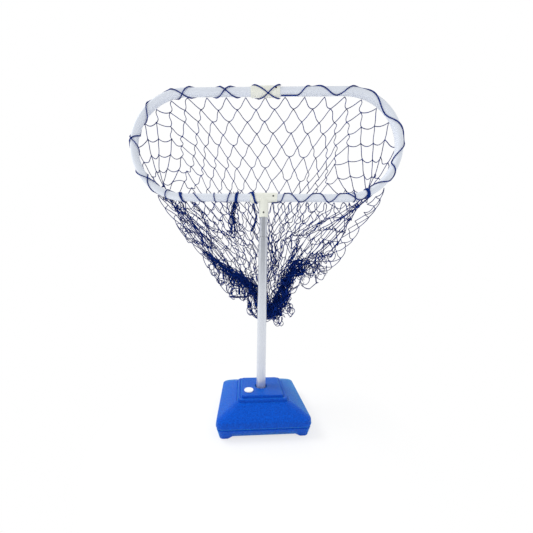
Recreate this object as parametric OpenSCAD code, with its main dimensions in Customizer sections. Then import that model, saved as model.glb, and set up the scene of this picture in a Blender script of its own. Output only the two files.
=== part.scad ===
// Free-standing catch net: a fillable stepped base, a telescopic post and an upright
// oval hoop that carries a knotted net bag, laced round the hoop's tube.
// Millimetres. The origin is the base's centre on the floor, +Z up, and -Y the open front.

/* [Hoop] */
// Overall width of the hoop
hoop_w = 1150; // [900:10:1400]
// Overall height of the hoop
hoop_h = 480; // [380:10:600]
// Height of the lower hoop tube's centre line above the floor
hoop_z = 900; // [860:5:1000]
// Outer diameter of the hoop tube and of the upper post
tube_d = 32; // [28:0.5:33]
// Wall of the hoop tube and of the upper post
tube_wall = 1.2; // [1:0.1:2]

/* [Fittings] */
// Wall of the tee and of the coupling
fitting_wall = 3.8; // [3:0.1:5]
// Radial gap between a tube and its socket
socket_gap = 0.1; // [0.05:0.05:0.3]
// Length of the tee's run
tee_run = 112; // [100:2:140]
// Distance from the run's centre line to the stem's lower end
tee_drop = 85; // [80:1:110]
// Depth of the tee's three sockets
tee_socket = 48; // [30:1:52]
// Length of the top coupling
coupling_len = 122; // [90:2:160]
// Width of the coupling's inner stop
stop_w = 4; // [2:1:10]
// Height of the inner stops against the tube ends
stop_h = 2; // [1:0.5:3]
// Rounding of the fittings' open ends
mouth_round = 1; // [0.5:0.25:1.5]

/* [Screws] */
// Diameter of the self-tapping screws
screw_d = 3.5; // [3:0.5:5]
// Diameter of the screw heads
screw_head_d = 7; // [6:0.5:9]
// Height of the screw heads
screw_head_h = 2.2; // [1.5:0.1:3]
// Length of the screws under the head
screw_len = 9; // [7:0.5:12]
// Distance of a screw from the open end of its fitting
screw_inset = 17; // [12:1:22]

/* [Post] */
// Outer diameter of the lower post
post_d = 38; // [37:0.5:44]
// Wall of the lower post
post_wall = 1.5; // [1:0.1:1.8]
// Height of the lower post's top end above the floor
seam_z = 732; // [700:2:770]
// How far the upper post can be drawn out
lift = 400; // [200:10:420]
// Length of upper post that stays in the lower one when drawn out
overlap = 120; // [90:5:150]
// Radial clearance of parts that slide or turn in each other
run_gap = 0.08; // [0.04:0.01:0.1]
// Radial gap of plugs and bushes that are pressed in
press_gap = 0.02; // [0.01:0.01:0.05]
// Length of the bush in the lower post's mouth
bush_len = 30; // [20:1:40]
// Thickness of the lips of the bush, the glide and the foot plug
lip_t = 2; // [1.5:0.5:4]
// Length of the spigots of the glide and the foot plug
spigot_len = 18; // [12:1:30]
// Wall of the plastic spigots
spigot_wall = 2.4; // [1.6:0.2:4]

/* [Height lock] */
// Distance of the lock screw below the lower post's top end
lock_drop = 44; // [40:1:70]
// Diameter of the lock screw
lock_d = 8; // [6:1:8]
// Diameter of the boss that takes the lock screw
boss_d = 15; // [13:1:20]
// How far the boss stands out of the lower post
boss_h = 6; // [4:0.5:8]
// Gap between the lock screw's tip and the upper post
tip_gap = 0.3; // [0.2:0.1:0.6]
// Diameter of the lock knob over its lobes
knob_d = 30; // [26:1:36]
// Thickness of the lock knob
knob_h = 12; // [9:1:14]
// Number of lobes on the lock knob
knob_lobes = 6; // [5:1:8]
// Gap between the knob and the boss
knob_gap = 0.6; // [0.4:0.1:1.2]

/* [Base] */
// Width of the base at its widest
base_w = 340; // [300:5:400]
// Height of the base without the filler plug
base_h = 108; // [95:1:130]
// Corner radius of the base at its widest
base_round = 28; // [16:1:40]
// Wall of the base
base_wall = 3.5; // [2.5:0.5:5]
// Height of the corner feet
foot_h = 8; // [5:1:14]
// Width of a corner foot
foot_w = 44; // [30:1:60]
// Height of the parting groove above the floor
groove_z = 35; // [28:1:40]
// Depth of the parting groove
groove_depth = 3; // [1.5:0.5:5]
// Height of the skirt's upper edge above the floor
skirt_z = 59; // [54:1:66]
// Width of the outer step
step1_w = 192; // [176:2:210]
// Width of the inner step
step2_w = 167; // [150:1:170]
// Height of each step
step_h = 9; // [6:0.5:11]
// Width of the flat top
top_w = 144; // [136:1:148]
// Corner radius of the steps
step_round = 12; // [8:1:16]
// Angle at which the base stands turned under the hoop
base_turn = 6; // [-20:1:20]

/* [Socket] */
// Height of the socket's floor above the ground
socket_z = 14; // [12:1:20]
// Width of the socket's rounded mouth
mouth_w = 51; // [48:1:56]
// Depth of the socket's rounded mouth
mouth_h = 7; // [4:0.5:10]

/* [Filler] */
// Diameter of the filler plug's head
plug_d = 37; // [30:1:40]
// Height of the filler plug's head
plug_h = 5; // [3:0.5:8]
// Diameter of the filler hole
filler_d = 26; // [20:1:28]
// Length of the filler plug's stem
plug_stem = 16; // [10:1:24]
// Distance of the filler plug to the left of the post
plug_x = 52; // [48:1:54]
// Distance of the filler plug in front of the post
plug_y = 40; // [38:1:48]

/* [Net] */
// Thickness of the net's cord
net_t = 3; // [2:0.5:4]
// Width of a knotted strand
strand_w = 4; // [3:0.5:6]
// Meshes along each of the rim's four sides
mesh_n = 6; // [4:1:7]
// Rows of meshes from the rim to the gathered bottom
mesh_rows = 9; // [5:2:9]
// Distance from the lower hoop tube down to the gathered bottom
bag_drop = 500; // [400:10:560]
// Distance of the gathered bottom behind the post's axis
bag_set = 90; // [84:2:110]
// How far the back of the bag bellies out
bag_belly = 70; // [40:5:80]
// How far the front of the bag bellies out
front_belly = 18; // [10:1:20]
// Half the depth of the gathered bottom, front to back
gather_r = 42; // [34:1:44]
// Half the width of the gathered bottom
gather_w = 90; // [60:5:110]
// Distance of the gathered bottom to the right of the post
gather_x = 20; // [0:5:60]
// Height of the gathered bundle under the meshes
gather_h = 44; // [30:2:60]
// Gap between the net and the tube that it hangs on
hang_gap = 0.4; // [0.3:0.1:1]

/* [Lacing] */
// Diameter of the lacing cord
lace_d = 3.5; // [3:0.5:5]
// Gap between the lacing and the hoop tube
lace_gap = 0.8; // [0.5:0.1:2]
// Gap between the lacing's ends and the fittings
lace_end = 6; // [4:1:12]
// Waves of the lacing on each half of the hoop
lace_waves = 7; // [5:1:8]
// Angle by which the lacing swings round the tube from its front
lace_swing = 120; // [100:5:140]
// Rings of the lacing in each of its waves
lace_rings = 18; // [12:1:18]

/* [Hidden] */

$fn = 64;
// Overcut that keeps cut faces apart, and a small one for a tapered cut
eps = 1;
proud = 0.01;

tube_r = tube_d / 2;
bore_r = tube_r + socket_gap;
fitting_r = bore_r + fitting_wall;
bend_r = hoop_h / 2 - tube_r;
bend_x = hoop_w / 2 - hoop_h / 2;
mid_z = hoop_z + bend_r;
top_z = hoop_z + 2 * bend_r;
tee_end = tee_run / 2;
tee_stop = tee_end - tee_socket;
coupling_end = coupling_len / 2;
stem_z = hoop_z - tee_drop;

post_r = post_d / 2;
post_bore = post_r - post_wall;
upper_top = stem_z + tee_socket;
upper_low = seam_z - overlap - lift;
lower_low = socket_z + lip_t;
lock_z = seam_z - lock_drop;
lock_r = lock_d / 2;
boss_end = post_r + boss_h;
knob_y = boss_end + knob_gap;

half_w = base_w / 2;
shelf_z = base_h - step_h;
crease_z = shelf_z - step_h;
socket_r = post_r + run_gap;

rim_y = tube_r + hang_gap + net_t / 2;
gather_z = hoop_z - bag_drop;
// How quickly the bag moves back from the rim, how its sides curve in, and how much less the left one does
bag_settle = 1.6;
bag_taper = 1.3;
bag_skew = 0.15;
bag_full = 0.7;

ivory = [0.90, 0.88, 0.78];
paint = [0.86, 0.87, 0.91];
satin = [0.74, 0.75, 0.77];
blue = [0.05, 0.30, 0.82];
navy = [0.07, 0.15, 0.42];

// ---------- shapes used more than once ----------

// Ring of points of a rounded square: half width, corner radius and height
corner_steps = 6;
ring_n = 4 * (corner_steps + 1);
function square_ring(half, r, z) =
  [for (k = [0:3], i = [0:corner_steps])
    let (a = 90 * k + 90 * i / corner_steps,
      x = (k == 0 || k == 3) ? half - r : r - half,
      y = (k < 2) ? half - r : r - half)
    [x + r * cos(a), y + r * sin(a), z]];

// Closed faces over equal rings of n points stacked from the bottom up
function stack_faces(levels, n) = concat(
  [[for (i = [0:n - 1]) i]],
  [for (l = [0:levels - 2], i = [0:n - 1]) let (j = (i + 1) % n)
    [l * n + i, (l + 1) * n + j, l * n + j]],
  [for (l = [0:levels - 2], i = [0:n - 1]) let (j = (i + 1) % n)
    [l * n + i, (l + 1) * n + i, (l + 1) * n + j]],
  [[for (i = [n - 1:-1:0]) (levels - 1) * n + i]]);

// Solid lofted through rounded squares, each [half width, corner radius, height]
module square_loft(levels) {
  points = [for (l = levels) each square_ring(l[0], l[1], l[2])];
  polyhedron(points, stack_faces(len(levels), ring_n));
}

module along_x(x0, x1, z, r) {
  translate([x0, 0, z]) rotate([0, 90, 0]) cylinder(r = r, h = x1 - x0);
}

module tube(r, wall, z0, z1) {
  translate([0, 0, z0]) difference() {
    cylinder(r = r, h = z1 - z0);
    translate([0, 0, -eps]) cylinder(r = r - wall, h = z1 - z0 + 2 * eps);
  }
}

// Radial hole towards the front, from inside a fitting through its wall
module front_hole(x, z, r, deep) {
  translate([x, 0, z]) rotate([90, 0, 0]) cylinder(r = r, h = deep);
}

// ---------- base ----------

// How far the underside and the lower skirt are drawn in from the widest line
foot_in = 10;
skirt_in = 3;
// Rounding of the moulded edges
edge_r = 2;

// Levels of the base at height z, drawn in by d from the skirt's or a step's own width
function skirt_level(d, z) = [half_w - d, base_round - d, z];
function step_level(w, d, z) = [w / 2 - d, max(edge_r, step_round - d), z];
function foot_level(d, z) = [foot_w / 2 - d, foot_w / 4 - d / 2, z];

module base_outer() {
  square_loft([
    skirt_level(foot_in, foot_h),
    skirt_level(foot_in / 2, foot_h + foot_in / 2),
    skirt_level(skirt_in, groove_z - edge_r),
    skirt_level(skirt_in + groove_depth, groove_z),
    skirt_level(skirt_in, groove_z + edge_r),
    skirt_level(0, groove_z + 3 * edge_r),
    skirt_level(edge_r / 2, skirt_z - 2 * edge_r),
    skirt_level(2 * edge_r, skirt_z),
    step_level(step1_w, -3 * edge_r, crease_z - edge_r / 2),
    step_level(step1_w, 0, crease_z + edge_r / 2),
    step_level(step1_w, edge_r, shelf_z - edge_r),
    step_level(step1_w, 2 * edge_r, shelf_z),
    step_level(step2_w, -edge_r / 2, shelf_z + edge_r / 4),
    step_level(step2_w, edge_r, base_h - edge_r),
    step_level(top_w, -edge_r, base_h - edge_r / 2),
    step_level(top_w, 0, base_h)
  ]);
}

module base_hollow() {
  w = base_wall;
  square_loft([
    skirt_level(foot_in + w, foot_h + w),
    skirt_level(skirt_in + groove_depth + w, groove_z),
    skirt_level(2 * edge_r + w, skirt_z - w),
    step_level(step1_w, 2 * edge_r + w, crease_z - w),
    step_level(step2_w, edge_r + w, shelf_z - w),
    step_level(top_w, w, base_h - w)
  ]);
}

module base_feet() {
  at = half_w - foot_in - foot_w / 2;
  for (x = [-at, at], y = [-at, at])
    translate([x, y, 0])
      square_loft([
        foot_level(2 * edge_r, 0),
        foot_level(edge_r / 2, foot_h / 2),
        foot_level(0, foot_h + base_wall)
      ]);
}

module base_tank() {
  color(blue) rotate([0, 0, base_turn]) difference() {
    union() {
      base_outer();
      base_feet();
    }
    difference() {
      base_hollow();
      cylinder(r = socket_r + base_wall, h = base_h);
    }
    translate([0, 0, socket_z]) cylinder(r = socket_r, h = base_h);
    translate([0, 0, base_h - mouth_h])
      cylinder(r1 = socket_r, r2 = mouth_w / 2, h = mouth_h + proud);
    translate([-plug_x, -plug_y, base_h - base_wall - eps])
      cylinder(d = filler_d, h = base_wall + 2 * eps);
  }
}

// Bevel of the filler plug's edges
plug_edge = 1.5;

module fill_plug() {
  r = plug_d / 2;
  stem_r = filler_d / 2 - run_gap;
  profile = [[0, -plug_stem], [stem_r - plug_edge, -plug_stem], [stem_r, plug_edge - plug_stem],
    [stem_r, 0], [r, 0], [r, plug_h - plug_edge], [r - plug_edge, plug_h], [0, plug_h]];
  color("white") rotate([0, 0, base_turn]) translate([-plug_x, -plug_y, base_h])
    rotate_extrude() polygon(profile);
}

// ---------- post ----------

module lower_post() {
  color(satin) difference() {
    tube(post_r, post_wall, lower_low, seam_z - lip_t);
    translate([0, 0, lock_z]) rotate([-90, 0, 0]) cylinder(r = lock_r + run_gap, h = boss_end);
  }
}

module post_foot_plug() {
  color("dimgray") union() {
    translate([0, 0, socket_z]) cylinder(r = post_r, h = lip_t);
    tube(post_bore - press_gap, spigot_wall, lower_low, lower_low + spigot_len);
  }
}

module post_bush() {
  inner = tube_r + run_gap;
  color("gray") union() {
    tube(post_r, post_r - inner, seam_z - lip_t, seam_z);
    tube(post_bore - press_gap, post_bore - press_gap - inner, seam_z - bush_len, seam_z - lip_t);
  }
}

module lock_boss() {
  color(satin) difference() {
    translate([0, 0, lock_z]) rotate([-90, 0, 0]) cylinder(d = boss_d, h = boss_end, $fn = 6);
    cylinder(r = post_r, h = seam_z);
    translate([0, 0, lock_z]) rotate([-90, 0, 0]) cylinder(r = lock_r + run_gap, h = boss_end + eps);
  }
}

// Bevel of the lock screw's tip and of the knob's lobes
lock_edge = 1;
// Radius of a lobe on the lock knob, and how far the lobes stand out
lobe_r = 4.5;
lobe_out = 3;

module lock_screw() {
  tip = tube_r + tip_gap;
  color("silver") translate([0, tip, lock_z]) rotate([-90, 0, 0]) union() {
    cylinder(r1 = lock_r - lock_edge, r2 = lock_r, h = lock_edge);
    translate([0, 0, lock_edge]) cylinder(r = lock_r, h = knob_y + knob_h / 2 - tip - lock_edge);
  }
}

module lock_knob() {
  body_r = knob_d / 2 - lobe_out;
  color([0.12, 0.12, 0.13]) translate([0, knob_y, lock_z]) rotate([-90, 0, 0]) difference() {
    union() {
      cylinder(r = body_r, h = knob_h);
      for (k = [0:knob_lobes - 1])
        rotate([0, 0, 360 * k / knob_lobes])
          translate([knob_d / 2 - lobe_r, 0, lock_edge])
            cylinder(r = lobe_r, h = knob_h - 2 * lock_edge);
    }
    translate([0, 0, -eps]) cylinder(r = lock_r, h = knob_h / 2 + eps);
  }
}

module upper_post() {
  color(satin) difference() {
    tube(tube_r, tube_wall, upper_low, upper_top);
    front_hole(0, stem_z + screw_inset, screw_d / 2 + socket_gap, tube_r + eps);
  }
}

module post_glide() {
  r = tube_r - tube_wall - press_gap;
  color("gray") union() {
    tube(post_bore - run_gap, spigot_wall + post_bore - tube_r, upper_low - 2 * lip_t, upper_low);
    tube(r, spigot_wall, upper_low, upper_low + spigot_len);
    tube(r, spigot_wall, upper_low - 2 * lip_t, upper_low);
  }
}

// ---------- fittings and hoop ----------

module fitting_body(x, z) {
  along_x(-x + mouth_round, x - mouth_round, z, fitting_r);
  along_x(-x, x, z, fitting_r - mouth_round);
}

module tee_fitting() {
  hole_r = screw_d / 2 + socket_gap;
  color(ivory) difference() {
    union() {
      fitting_body(tee_end, hoop_z);
      translate([0, 0, stem_z + mouth_round]) cylinder(r = fitting_r, h = tee_drop);
      translate([0, 0, stem_z]) cylinder(r = fitting_r - mouth_round, h = tee_drop);
    }
    along_x(-tee_end - eps, -tee_stop, hoop_z, bore_r);
    along_x(tee_stop, tee_end + eps, hoop_z, bore_r);
    along_x(-tee_stop - eps, tee_stop + eps, hoop_z, bore_r - stop_h);
    translate([0, 0, stem_z - eps]) cylinder(r = bore_r, h = tee_socket + eps);
    translate([0, 0, stem_z]) cylinder(r = bore_r - stop_h, h = tee_drop);
    front_hole(tee_end - screw_inset, hoop_z, hole_r, fitting_r + eps);
    front_hole(0, stem_z + screw_inset, hole_r, fitting_r + eps);
  }
}

module top_coupling() {
  color(ivory) difference() {
    fitting_body(coupling_end, top_z);
    along_x(-coupling_end - eps, -stop_w / 2, top_z, bore_r);
    along_x(stop_w / 2, coupling_end + eps, top_z, bore_r);
    along_x(-stop_w, stop_w, top_z, bore_r - stop_h);
    front_hole(coupling_end - screw_inset, top_z, screw_d / 2 + socket_gap, fitting_r + eps);
  }
}

// Right half of the hoop as a solid bar of radius r, its ends longer by grow
module half_bar(r, grow) {
  along_x(stop_w / 2 - grow, bend_x, top_z, r);
  along_x(tee_stop - grow, bend_x, hoop_z, r);
  translate([bend_x, 0, mid_z]) rotate([90, 0, 0]) rotate([0, 0, -90])
    rotate_extrude(angle = 180) translate([bend_r, 0]) circle(r = r);
}

module half_tube() {
  difference() {
    half_bar(tube_r, 0);
    half_bar(tube_r - tube_wall, eps);
  }
}

module hoop_left() {
  color(paint) mirror([1, 0, 0]) half_tube();
}

module hoop_right() {
  hole_r = screw_d / 2 + socket_gap;
  color(paint) difference() {
    half_tube();
    front_hole(tee_end - screw_inset, hoop_z, hole_r, tube_r + eps);
    front_hole(coupling_end - screw_inset, top_z, hole_r, tube_r + eps);
  }
}

// Length of a screw's pointed tip, and the rounding of its head
screw_tip = 2;
screw_round = 1;

module screw() {
  r = screw_head_d / 2;
  profile = [[0, -screw_len], [screw_d / 2, screw_tip - screw_len], [screw_d / 2, 0], [r, 0],
    [r, screw_head_h - screw_round], [r - screw_round, screw_head_h], [0, screw_head_h]];
  rotate([90, 0, 0]) rotate_extrude() polygon(profile);
}

module fitting_screws() {
  color("silver") {
    translate([tee_end - screw_inset, -fitting_r, hoop_z]) screw();
    translate([0, -fitting_r, stem_z + screw_inset]) screw();
    translate([coupling_end - screw_inset, -fitting_r, top_z]) screw();
  }
}

// ---------- rim line and lacing ----------

// Point [x, z] of the hoop's centre line at station s: sides 0 top, 1 right, 2 bottom, 3 left
function rim(s) =
  let (t = (s % 4 + 4) % 4, side = floor(t), f = t - side)
  side == 0 ? [bend_x * (2 * f - 1), top_z] :
  side == 1 ? [bend_x + bend_r * sin(180 * f), mid_z + bend_r * cos(180 * f)] :
  side == 2 ? [bend_x * (1 - 2 * f), hoop_z] :
  [-bend_x - bend_r * sin(180 * f), mid_z - bend_r * cos(180 * f)];

// Direction away from the hoop's middle at station s
rim_step = 0.002;
function rim_out(s) =
  let (a = rim(s - rim_step), b = rim(s + rim_step), d = b - a, n = [-d[1], d[0]])
  n / norm(n);

// The lacing waves across the tube's front, from behind its inner edge to behind its outer edge
lace_s0 = 0.5 + (coupling_end + lace_end) / (2 * bend_x);
lace_s1 = 2.5 - (tee_end + lace_end) / (2 * bend_x);
// The straight lengths between the rings stay clear of the tube too
lace_half_step = lace_swing * PI / lace_rings;
lace_r = (tube_r + lace_gap + lace_d / 2) / cos(lace_half_step);
function lace_point(s) =
  let (p = rim(s), o = rim_out(s), turns = lace_waves * (s - lace_s0) / (lace_s1 - lace_s0),
    a = -90 - lace_swing * cos(360 * turns))
  [p[0] + lace_r * cos(a) * o[0], lace_r * sin(a), p[1] + lace_r * cos(a) * o[1]];

function unit(v) = v / norm(v);

lace_sides = 6;

// Ring of the cord's tube round point p, square to t, with its first corner towards away
function sweep_ring(p, t, away) =
  let (e1 = unit(away - (away * t) * t), e2 = cross(t, e1))
  [for (k = [0:lace_sides - 1]) let (a = 360 * k / lace_sides)
    p + lace_d / 2 * (cos(a) * e1 + sin(a) * e2)];

lace_steps = lace_waves * lace_rings;
lace_path = [for (i = [0:lace_steps]) lace_point(lace_s0 + (lace_s1 - lace_s0) * i / lace_steps)];

// Straight ends, one cord diameter long
function with_ends(p) =
  let (n = len(p) - 1)
  concat([p[0] + lace_d * unit(p[0] - p[1])], p, [p[n] + lace_d * unit(p[n] - p[n - 1])]);

module lacing() {
  path = with_ends(lace_path);
  last = len(path) - 1;
  rings = [for (i = [0:last])
    let (t = unit(path[min(i + 1, last)] - path[max(i - 1, 0)]),
      s = lace_s0 + (lace_s1 - lace_s0) * (i - 1) / lace_steps, c = rim(s))
    each sweep_ring(path[i], t, path[i] - [c[0], 0, c[1]])];
  polyhedron(rings, stack_faces(last + 1, lace_sides));
}

// Least gap of the lacing to itself, over points at least half a wave apart
lace_least = min([for (i = [0:lace_steps], j = [i + lace_rings / 2:lace_steps])
  norm(lace_path[i] - lace_path[floor(j)])]) - lace_d;
echo(least_gap_of_lacing = lace_least);

module lacing_right() {
  color(navy) lacing();
}

module lacing_left() {
  color(navy) mirror([1, 0, 0]) lacing();
}

// ---------- net bag ----------

// Extra room behind the tee and the coupling
function clear_of_fitting(x) = abs(x) < coupling_end ? fitting_r - tube_r : 0;

// Point of the bag at station s and depth v, 0 at the rim and 1 at the gathered bottom
function bag(s, v) =
  let (p = rim(s), turn = 90 * (s - 0.5), back = cos(turn), right = sin(turn),
    belly = (back > 0 ? bag_belly : front_belly) * pow(sin(180 * v), bag_full),
    y0 = rim_y + clear_of_fitting(p[0]))
  [p[0] + (gather_x - p[0]) * pow(v, bag_taper + bag_skew * right) + gather_w * right * v,
    y0 + (bag_set - y0) * sin(90 * min(1, bag_settle * v)) + (belly + gather_r * v) * back,
    p[1] + (gather_z - p[1]) * v];

slope_step = 0.02;
function bag_normal(s, v) =
  let (h = slope_step, low = max(v - h, h / 20), high = min(v + h, 1 - h / 20), mid = (low + high) / 2)
  unit(cross(bag(s + h, mid) - bag(s - h, mid), bag(s, high) - bag(s, low)));

// Knots sit on rows 0 to mesh_rows + 1, at half-mesh columns -1 to 2 * mesh_n
net_cols = 2 * mesh_n + 2;
function knot(side, row, col) =
  let (s = side + col / (2 * mesh_n), v = max(0, min(1, row / (mesh_rows + 1))))
  [bag(s, v), bag_normal(s, v)];

// Mesh i of a row has its four knots in the order upper, right, lower, left
function mesh_col(row, i) = 2 * i + row % 2;
function mesh_knots(row, i) =
  let (c = mesh_col(row, i))
  [[row, c], [row + 1, c + 1], [row + 2, c], [row + 1, c - 1]];

// A knot's place inside a mesh, drawn in by half a strand, or less in a very small mesh
most_inset = 0.6;
function inset(side, row, i, k) =
  let (m = [for (q = mesh_knots(row, i)) knot(side, q[0], q[1])],
    mid = (m[0][0] + m[1][0] + m[2][0] + m[3][0]) / 4,
    a = norm(m[1][0] - m[3][0]) / 2, b = norm(m[0][0] - m[2][0]) / 2,
    f = min(most_inset, strand_w / 2 * norm([a, b]) / (a * b)))
  [m[k][0] + f * (mid - m[k][0]), m[k][1]];

function both_skins(q) = [q[0] + net_t / 2 * q[1], q[0] - net_t / 2 * q[1]];

function knot_index(q) = 2 * (q[0] * net_cols + q[1] + 1);
inner_start = 2 * (mesh_rows + 2) * net_cols;
function inner_index(row, i, k) = inner_start + 2 * (4 * (row * mesh_n + i) + k);

// True where the panel has the mesh of that row centred on that column
function has_mesh(row, col) =
  row >= 0 && row < mesh_rows && col >= row % 2 && col <= mesh_col(row, mesh_n - 1);

function quad(a, b, c, d) = [[c, b, a], [d, c, a]];

module net_panel(side) {
  knots = [for (row = [0:mesh_rows + 1], col = [-1:net_cols - 2])
    each both_skins(knot(side, row, col))];
  inner = [for (row = [0:mesh_rows - 1], i = [0:mesh_n - 1], k = [0:3])
    each both_skins(inset(side, row, i, k))];
  faces = [for (row = [0:mesh_rows - 1], i = [0:mesh_n - 1], k = [0:3])
    let (m = mesh_knots(row, i), n = (k + 1) % 4, a = knot_index(m[k]), b = knot_index(m[n]),
      c = inner_index(row, i, k), d = inner_index(row, i, n),
      beyond = [row + (k == 0 || k == 3 ? -1 : 1), mesh_col(row, i) + (k < 2 ? 1 : -1)])
    each concat(quad(a, b, d, c), quad(b + 1, a + 1, c + 1, d + 1), quad(c, d, d + 1, c + 1),
      has_mesh(beyond[0], beyond[1]) ? [] : quad(b, a, a + 1, b + 1))];
  color(navy) polyhedron(concat(knots, inner), faces);
}

module net_back() { net_panel(0); }
module net_right() { net_panel(1); }
module net_front() { net_panel(2); }
module net_left() { net_panel(3); }

// The bunched bottom of the net, under the lowest row of knots: a trough with two round ends
module net_gather() {
  r = gather_r + net_t;
  reach = gather_w - gather_r;
  steps = 6;
  curve = [for (i = [0:2 * steps]) let (a = 90 * i / steps) [r * cos(a), -gather_h * sin(a)]];
  half = [[0, 0], for (i = [0:steps]) curve[i]];
  color(navy) translate([gather_x, bag_set, gather_z + net_t]) {
    for (x = [-reach, reach]) translate([x, 0, 0]) rotate_extrude() polygon(half);
    translate([-reach, 0, 0]) rotate([90, 0, 90]) linear_extrude(2 * reach) polygon(curve);
  }
}

// ---------- assembly ----------

base_tank();
fill_plug();
lower_post();
post_foot_plug();
post_bush();
lock_boss();
lock_screw();
lock_knob();
upper_post();
post_glide();
tee_fitting();
top_coupling();
hoop_left();
hoop_right();
fitting_screws();
lacing_left();
lacing_right();
net_back();
net_right();
net_front();
net_left();
net_gather();
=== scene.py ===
import math

import bpy
import numpy as np
from mathutils import Matrix, Vector


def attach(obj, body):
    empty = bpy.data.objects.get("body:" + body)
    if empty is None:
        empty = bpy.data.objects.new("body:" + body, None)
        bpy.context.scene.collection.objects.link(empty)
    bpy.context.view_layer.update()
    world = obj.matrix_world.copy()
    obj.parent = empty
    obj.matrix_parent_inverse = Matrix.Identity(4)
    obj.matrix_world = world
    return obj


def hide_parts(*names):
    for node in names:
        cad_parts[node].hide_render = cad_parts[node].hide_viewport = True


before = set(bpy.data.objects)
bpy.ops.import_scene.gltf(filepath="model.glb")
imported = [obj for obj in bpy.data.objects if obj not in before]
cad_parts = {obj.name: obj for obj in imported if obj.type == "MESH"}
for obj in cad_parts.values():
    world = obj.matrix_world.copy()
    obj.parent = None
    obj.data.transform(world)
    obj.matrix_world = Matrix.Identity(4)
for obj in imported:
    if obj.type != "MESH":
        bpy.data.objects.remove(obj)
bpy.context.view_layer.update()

# ---------- sizes, in metres ----------

HOOP_Z, TOP_Z, TUBE_R, TUBE_WALL = 0.900, 1.348, 0.016, 0.0012
BEND_X, BEND_R = 0.335, 0.224
MID_Z = (HOOP_Z + TOP_Z) / 2
FITTING_R, TEE_END, COUPLING_END, STEM_Z = 0.0199, 0.056, 0.061, 0.815
SCREW_INSET = 0.017

# ---------- camera ----------

# The photograph's frame, focal length and principal point, in its pixels
PHOTO_W = 533
FOCAL = 211.38
CENTRE_U, CENTRE_V = 258.58, 285.49
EYE = np.array([0.00607, -0.89242, 0.52854])
YAW, PITCH, ROLL = -0.025, -0.0012, 0.0154
SENSOR, NEAREST, FARTHEST = 36.0, 0.01, 50


def camera_axes():
    """Directions ahead, to the right and up."""
    ahead = np.array([math.sin(YAW) * math.cos(PITCH), math.cos(YAW) * math.cos(PITCH), -math.sin(PITCH)])
    side = np.array([math.cos(YAW), -math.sin(YAW), 0.0])
    up = np.cross(side, ahead)
    c, s = math.cos(ROLL), math.sin(ROLL)
    return ahead, c * side + s * up, c * up - s * side


AHEAD, RIGHT, UP = camera_axes()


def seen(u, v, y):
    """The point at that y which the photograph shows at pixel (u, v)."""
    ray = AHEAD + (u - CENTRE_U) / FOCAL * RIGHT - (v - CENTRE_V) / FOCAL * UP
    return EYE + ray * ((y - EYE[1]) / ray[1])


def placed(name, data):
    """An object with that data, in the scene."""
    obj = bpy.data.objects.new(name, data)
    bpy.context.scene.collection.objects.link(obj)
    return obj


def add_camera():
    data = bpy.data.cameras.new("camera")
    data.sensor_fit = "HORIZONTAL"
    data.sensor_width = SENSOR
    data.lens = SENSOR * FOCAL / PHOTO_W
    data.shift_x = (PHOTO_W / 2 - CENTRE_U) / PHOTO_W
    data.shift_y = (CENTRE_V - PHOTO_W / 2) / PHOTO_W
    data.clip_start, data.clip_end = NEAREST, FARTHEST
    camera = placed("camera", data)
    camera.matrix_world = Matrix([*zip(RIGHT, UP, -AHEAD, EYE), (0, 0, 0, 1)])
    bpy.context.scene.camera = camera


# ---------- light, floor and background ----------

SOFT_LIGHT, SOFT_STRENGTH = (0.97, 0.98, 1, 1), 0.89
LAMP_PLACE, LAMP_AIM, LAMP_SIZE, LAMP_WATTS = (-2.0, 0.2, 2.8), (0, 0, 0.6), 1.6, 60
FLOOR_REACH, FLOOR_PAINT = 12.0, (0.92, 0.92, 0.92, 1)
# Share of plain white that the floor shows out to the first distance, and where it becomes all white
FLOOR_SHARE, FLOOR_NEAR, FLOOR_FAR = 0.70, 0.24, 0.60
FRONT_TONE, OVER_TONE = (0.08, 0.08, 0.09, 1), (0.04, 0.05, 0.09, 1)


def put(tree, node, **inputs):
    """Sets inputs of a node, or links them where the value is another node's output. A name has _ for a
    space, and _0, _1 and so on mean a socket by its number."""
    for name, value in inputs.items():
        socket = node.inputs[int(name[1:]) if name[0] == "_" else name.replace("_", " ")]
        if isinstance(value, bpy.types.NodeSocket):
            tree.links.new(value, socket)
        else:
            socket.default_value = value
    return node


def node(tree, kind, **inputs):
    return put(tree, tree.nodes.new("ShaderNode" + kind), **inputs)


def maths(tree, operation, *values):
    """Output of a maths node on values or other nodes' outputs."""
    n = node(tree, "Math", **{f"_{i}": v for i, v in enumerate(values)})
    n.operation = operation
    return n.outputs[0]


def direct_ray(tree):
    """1 for a ray that the camera, a gloss or a see-through surface sends out."""
    path = node(tree, "LightPath").outputs
    seen_ray = maths(tree, "MAXIMUM", path["Is Camera Ray"], path["Is Glossy Ray"])
    return maths(tree, "MAXIMUM", seen_ray, path["Is Transmission Ray"])


def add_world():
    """White where it is seen, and a little softer where it lights."""
    world = bpy.data.worlds.new("studio")
    bpy.context.scene.world = world
    world.use_nodes = True
    tree = world.node_tree
    tree.nodes.clear()
    soft = node(tree, "Background", Color=SOFT_LIGHT, Strength=SOFT_STRENGTH)
    white = node(tree, "Background", Color=(1, 1, 1, 1), Strength=1.0)
    mix = node(tree, "MixShader", _0=direct_ray(tree), _1=soft.outputs[0], _2=white.outputs[0])
    node(tree, "OutputWorld", Surface=mix.outputs[0])


def add_lamp():
    """A large lamp high at the left, which no gloss shows."""
    data = bpy.data.lights.new("key", "AREA")
    data.shape, data.size, data.energy = "DISK", LAMP_SIZE, LAMP_WATTS
    lamp = placed("key", data)
    lamp.location = LAMP_PLACE
    lamp.visible_glossy = False
    lamp.rotation_euler = (Vector(LAMP_AIM) - Vector(LAMP_PLACE)).to_track_quat("-Z", "Y").to_euler()


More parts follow.
